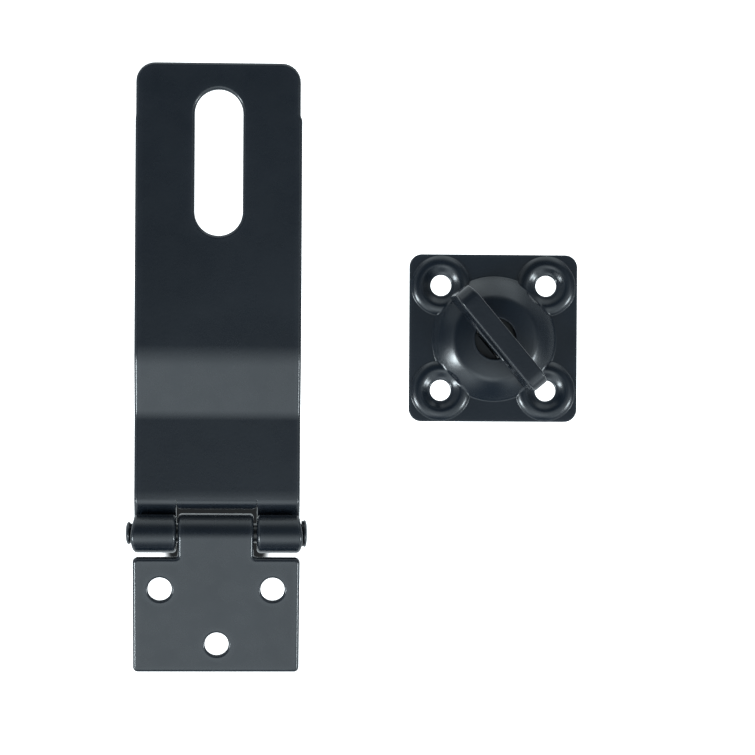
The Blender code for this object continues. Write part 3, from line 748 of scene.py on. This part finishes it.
def place_on_swivel(x, y, z):
    """Turns x and y by the staple's angle about the swivel's axis."""
    cos, sin = math.cos(STAPLE_TURN), math.sin(STAPLE_TURN)
    return np.stack([SWIVEL[0] + x * cos - y * sin, SWIVEL[1] + x * sin + y * cos, z], 1)


def seat_at(radius):
    """Height of the staple's underside, just clear of the dome."""
    return PLATE_T + float(np.interp(radius, DOME_AT, DOME_RISE)) + 0.35


def staple_loop():
    half = STAPLE_L / 2
    shoulder = seat_at(5.0) - 0.5
    right = [(PEEN_HALF, PEEN_LOW)]
    right += [(PEEN_HALF + PEEN_BULGE * math.sin(angle), PEEN_LOW + 0.6 - 0.6 * math.cos(angle))
              for angle in np.radians([20, 40, 60, 80, 100, 120, 140, 160])]
    right += [(4.45, PEEN_HIGH + 0.02), (SHANK_HALF, PEEN_HIGH + 0.35), (SHANK_HALF, shoulder)]
    right += [(SHANK_HALF + 0.5 - 0.5 * math.cos(angle), shoulder + 0.5 * math.sin(angle))
              for angle in np.radians([30, 60, 90])]
    # the underside follows the dome out to where it meets the level of the ends
    start = 13.0
    while seat_at(start) > FOOT_Z and start < half - 0.3:
        start += 0.01
    right += [(float(x), seat_at(x)) for x in np.arange(5.5, start - 0.2, 0.35)]
    right += [(start + 0.02, FOOT_Z + 0.15), (start + 0.2, FOOT_Z + 0.02), (start + 0.45, FOOT_Z)]
    right += arc(half - 0.3, FOOT_Z + 0.3, 0.3, -60, 0, 3)
    right += arc(half - STAPLE_CORNER, STAPLE_TOP - STAPLE_CORNER, STAPLE_CORNER, 0, 90, 14)
    return resample(right + [(-x, z) for x, z in reversed(right)], 1.2)


def place_staple(across, along, through):
    # the bar is a little thinner near its two ends, and the peened end spreads
    taper = np.clip((np.abs(across) - 11.5) / 3.5, 0, 1)
    half = (STAPLE_T - 0.6 * taper * taper * (3 - 2 * taper)) / 2
    oval = 3.8 * np.sqrt(np.clip(1 - (across / 5.75) ** 2, 0.02, 1))
    peen = np.clip((PEEN_HIGH + 0.35 - along) / 0.45, 0, 1)
    peen = peen * peen * (3 - 2 * peen)
    half = half + (np.maximum(oval, 0.9) - half) * peen * (np.abs(across) < 6.5)
    return place_on_swivel(across, -(through * half / (STAPLE_T / 2)), along)


def build_staple():
    eye = resample(rounded_rectangle(0, (EYE_LOW + EYE_HIGH) / 2, EYE_W, EYE_HIGH - EYE_LOW,
                                     EYE_CORNER, 10), 1.2)
    free = [(x, z) for x in np.arange(-14.2, 14.3, 0.9)
            for z in np.arange(3.6, STAPLE_TOP - 0.4, 1.0)]
    free += [(x, z) for x in np.arange(-5.4, 5.5, 0.45)
             for z in np.arange(PEEN_LOW + 0.3, 4.4, 0.3)]
    return sheet_solid("swivel_staple_bar", [(staple_loop(), STAPLE_EDGE), (eye[::-1], STAPLE_EDGE)],
                       place_staple, STAPLE_T, free)


def build_washer():
    low, high = WASHER_LOW[2], WASHER_HIGH[2]

    def place(across, along, through):
        return place_on_swivel(across, along, (low + high) / 2 + through)

    opening = resample(rounded_rectangle(0, 0, 8.6, 5.3, 0.6, 5), 0.6)
    free = [point for radius in (5.2, 6.0, 6.6) for point in circle(0, 0, radius, 48, 0.5)]
    return sheet_solid("staple_washer_disc", [(circle(0, 0, 7.5, 96), 0.3), (opening[::-1], 0.2)],
                       place, high - low, free, belt=0.5)


# --------------------------------------------------------------- shader graphs
class Graph:
    """A node tree whose inputs are fed with either values or other nodes' outputs."""

    def __init__(self, owner):
        owner.use_nodes = True
        self.nodes, self.links = owner.node_tree.nodes, owner.node_tree.links

    def feed(self, node, inputs):
        for socket, value in inputs.items():
            if isinstance(value, bpy.types.NodeSocket):
                self.links.new(value, node.inputs[socket])
            else:
                node.inputs[socket].default_value = value

    def add(self, kind, output, inputs=None, **settings):
        """Adds a node and returns its named output."""
        node = self.nodes.new("ShaderNode" + kind)
        for key, value in settings.items():
            setattr(node, key, value)
        self.feed(node, inputs or {})
        return node.outputs[output]

    def math(self, operation, *values):
        return self.add("Math", "Value", dict(enumerate(values)), operation=operation)

    def vector_math(self, operation, output, *values):
        return self.add("VectorMath", output, dict(enumerate(values)), operation=operation)


def powder_coat(name, seed, painted_light_tint, roughness):
    """Satin blue-black powder coat: soft mottling, orange peel, fine grain, and edges painted
    lighter, partly as rubbed paint and partly as a painted highlight.
    """
    made = bpy.data.materials.new(name)
    graph = Graph(made)
    coords = graph.add("TexCoord", "Object")
    shifted = graph.add("Mapping", "Vector", {
        "Vector": coords, "Location": (seed * 0.37, seed * 0.21, seed * 0.13)})

    def noise(size, detail, roughness=0.5):
        return graph.add("TexNoise", "Fac", {
            "Vector": shifted, "Scale": 1 / size / MM, "Detail": detail, "Roughness": roughness})

    def remap(source, low, high, to_low, to_high):
        return graph.add("MapRange", "Result", {
            "Value": source, "From Min": low, "From Max": high,
            "To Min": to_low, "To Max": to_high})

    # the tint makes this piece's paint lighter or darker as painted light, not as a different paint
    def colour(red, green, blue):
        return (red * painted_light_tint, green * painted_light_tint, blue * painted_light_tint, 1)

    def bump(height, distance, normal=None):
        inputs = {"Strength": 0.10, "Distance": distance * MM, "Height": height}
        if normal:
            inputs["Normal"] = normal
        return graph.add("Bump", "Normal", inputs)

    cloud = noise(size=26.0, detail=3)
    patch = noise(size=5.0, detail=4)
    peel = noise(size=0.75, detail=2, roughness=0.4)
    grain = noise(size=0.16, detail=2, roughness=0.6)
    edge = graph.add("Attribute", "Fac", attribute_name="edge")
    # lighter paint along the edges: partly paint rubbed thin, partly a painted highlight on the
    # rounded edges
    edge_rub_and_sheen = graph.math("MULTIPLY", edge, remap(patch, 0.3, 0.7, to_low=0.55, to_high=1.0))
    base = graph.add("Mix", "Result", {
        "A": colour(0.0028, 0.0056, 0.0098), "B": colour(0.0056, 0.0088, 0.0136),
        "Factor": remap(cloud, 0.3, 0.7, to_low=0.0, to_high=1.0)}, data_type="RGBA")
    edge_rubbed_and_sheened = graph.add("Mix", "Result", {
        "A": base, "B": colour(0.022, 0.026, 0.033),
        "Factor": graph.math("MULTIPLY", edge_rub_and_sheen, 0.5)}, data_type="RGBA")
    satin = remap(patch, 0.25, 0.75, to_low=roughness - 0.03, to_high=roughness + 0.03)
    graph.feed(graph.nodes["Principled BSDF"], {
        "Base Color": edge_rubbed_and_sheened,
        "Roughness": graph.math("ADD", satin, graph.math("MULTIPLY", edge_rub_and_sheen, -0.06)),
        "IOR": 1.52,
        "Normal": bump(grain, distance=0.02, normal=bump(peel, distance=0.10))})
    return made


# the tint makes the same paint lighter on the plate and darker on the pin, staple and washer: painted
# light standing in for how brightly each piece is lit
# builder, CAD piece, body it rides, paint and slot, noise seed, painted light tint, roughness
PIECES = (
    (build_strap, "hasp_strap", "strap", "strap_paint", 1, 1.0, 0.28),
    (build_leaf, "hinge_leaf", "fixed_halves", "leaf_paint", 2, 1.0, 0.28),
    (build_pin, "hinge_pin", "strap", "pin_paint", 3, 0.95, 0.26),
    (build_plate, "staple_plate", "fixed_halves", "plate_paint", 4, 1.25, 0.23),
    (build_staple, "swivel_staple", "staple", "staple_paint", 5, 0.85, 0.22),
    (build_washer, "staple_retaining_washer", "staple", "washer_paint", 6, 0.9, 0.36),
)

for build, cad_node, body, paint, seed, painted_light_tint, roughness in PIECES:
    piece = build()
    piece.data.materials.append(powder_coat(paint, seed, painted_light_tint, roughness))
    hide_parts(cad_node)
    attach(piece, body)


# ------------------------------------------------------------ floor and light
EYE = Vector((-27.35, 1.72, 680.0)) * MM        # where the camera stands
AIM = Vector((6.14, -1.63, 0.0)) * MM
CAMERA_ROLL = math.radians(0.35)
FLOOR_HALF, FLOOR_Z = 6000.0 * MM, -200.0 * MM
FLOOR_GLOW, FLOOR_GLOW_SEEN = 0.12, 1.15        # for the scene, and for the camera
SHADOW_HALF_X, SHADOW_HALF_Y = 14.6, 13.0       # of the dark patch, measured at the hinge
SHADOW_SHIFT_Y = 0.8
AMBIENT = 0.09
TINT = (0.90, 1.01, 1.06)

# each soft light: azimuth from +X, angle from overhead, softness (degrees), strength
SOFT_LIGHTS = (
    # from the -Y side
    (260, 37, 10, 2.3), (300, 37, 10, 0.7), (340, 37, 10, 1.1), (288, 20, 10, 0.6),
    (216, 52, 10, 2.1), (180, 52, 10, 0.5), (252, 52, 10, 0.6), (288, 52, 10, 0.5),
    (324, 52, 10, 0.8), (240, 66, 9, 1.8), (300, 66, 9, 1.5), (330, 66, 9, 1.1),
    (216, 88, 12, 1.3), (324, 88, 12, 0.8), (270, 14, 8, 0.6),
    # from the +Y side
    (60, 66, 9, 1.1), (90, 66, 9, 0.9), (120, 66, 9, 0.7), (72, 52, 10, 0.3),
    (144, 52, 10, 0.25), (150, 66, 9, 0.4), (0, 66, 9, 0.3), (20, 37, 10, 0.25),
    (72, 88, 12, 1.6), (108, 88, 12, 2.0), (144, 88, 12, 0.4), (36, 88, 12, 0.5),
    # two small lamps that draw the bright lines along rounded edges
    (209, 62, 4.2, 54.0), (332, 62, 4.2, 34.0),
)


def floor_material():
    made = bpy.data.materials.new("studio_floor_white")
    graph = Graph(made)
    camera_ray = graph.add("LightPath", "Is Camera Ray")
    glow = graph.add("MapRange", "Result", {
        "Value": camera_ray, "To Min": FLOOR_GLOW, "To Max": FLOOR_GLOW_SEEN})

    # the hinge's soft shadow: a squarish patch on the floor behind the hinge, seen from the eye
    x, y, z = HINGE[0] * MM, (HINGE[1] + SHADOW_SHIFT_Y) * MM, HINGE[2] * MM
    reach = (FLOOR_Z - z) / (z - EYE.z)
    centre = (x + (x - EYE.x) * reach, y + (y - EYE.y) * reach, FLOOR_Z)
    grow = 1 + reach
    scale = (1 / (SHADOW_HALF_X * MM * grow), 1 / (SHADOW_HALF_Y * MM * grow), 0)
    position = graph.add("NewGeometry", "Position")
    apart = graph.vector_math("SUBTRACT", "Vector", position, centre)
    apart = graph.vector_math("MULTIPLY", "Vector", apart, scale)
    squared = graph.vector_math("MULTIPLY", "Vector", apart, apart)
    away = graph.math("SQRT", graph.vector_math("LENGTH", "Value", squared))
    unshaded = graph.add("MapRange", "Result", {
        "Value": away, "From Min": 0.77, "From Max": 1.0, "To Min": 0.008, "To Max": 1.0,
    }, interpolation_type="SMOOTHERSTEP")

    paint = graph.add("Mix", "Result", {
        "A": (0.003, 0.0033, 0.0037, 1), "B": (0.8, 0.8, 0.8, 1), "Factor": unshaded,
    }, data_type="RGBA")
    shader = graph.nodes["Principled BSDF"]
    graph.feed(shader, {
        "Base Color": paint,
        "Roughness": 0.9,
        "Specular IOR Level": 0.0,
        "Emission Color": (1, 1, 1, 1),
        "Emission Strength": graph.math("MULTIPLY", glow, unshaded)})
    # from below, the floor is clear, so the undersides can be looked at
    choice = graph.add("MixShader", "Shader", {
        "Fac": position.node.outputs["Backfacing"],
        1: shader.outputs["BSDF"],
        2: graph.add("BsdfTransparent", "BSDF")})
    graph.feed(graph.nodes["Material Output"], {"Surface": choice})
    return made


def build_floor():
    mesh = bpy.data.meshes.new("studio_floor")
    corners = [(i * FLOOR_HALF, j * FLOOR_HALF, FLOOR_Z)
               for i, j in ((-1, -1), (1, -1), (1, 1), (-1, 1))]
    mesh.from_pydata(corners, [], [(0, 1, 2, 3)])
    floor = bpy.data.objects.new("studio_floor", mesh)
    bpy.context.scene.collection.objects.link(floor)
    mesh.materials.append(floor_material())


def build_world():
    """Adds up a round, soft-edged glow for each light over an even ambient one."""
    world = bpy.data.worlds.new("studio")
    bpy.context.scene.world = world
    graph = Graph(world)
    direction = graph.add("TexCoord", "Generated")
    total = AMBIENT
    for azimuth_deg, polar_deg, soft_deg, strength in SOFT_LIGHTS:
        azimuth, polar = math.radians(azimuth_deg), math.radians(polar_deg)
        axis = (math.sin(polar) * math.cos(azimuth), math.sin(polar) * math.sin(azimuth),
                math.cos(polar))
        cosine = graph.vector_math("DOT_PRODUCT", "Value", direction, axis)
        tightness = 1.0 / math.radians(soft_deg) ** 2
        # e ** ((cosine - 1) / softness ** 2)
        falloff = graph.math("MULTIPLY_ADD", cosine, tightness, -tightness)
        glow = graph.math("POWER", math.e, falloff)
        total = graph.math("MULTIPLY_ADD", glow, strength, total)
    graph.feed(graph.nodes["Background"], {"Strength": total, "Color": (*TINT, 1)})


def build_camera():
    camera = bpy.data.cameras.new("camera")
    camera.sensor_width = 36.0
    camera.lens = 131.37
    camera.clip_start, camera.clip_end = 0.01, 20.0
    forward = (AIM - EYE).normalized()
    right = forward.cross(Vector((-math.sin(CAMERA_ROLL), math.cos(CAMERA_ROLL), 0))).normalized()
    up = right.cross(forward)
    made = bpy.data.objects.new("camera", camera)
    turn = Matrix((right, up, -forward)).transposed().to_4x4()
    made.matrix_world = Matrix.Translation(EYE) @ turn
    bpy.context.scene.collection.objects.link(made)
    bpy.context.scene.camera = made


build_floor()
build_world()
build_camera()
view = bpy.context.scene.view_settings
view.view_transform = "Standard"
view.look = "None"
view.exposure = 0.0
view.gamma = 1.0
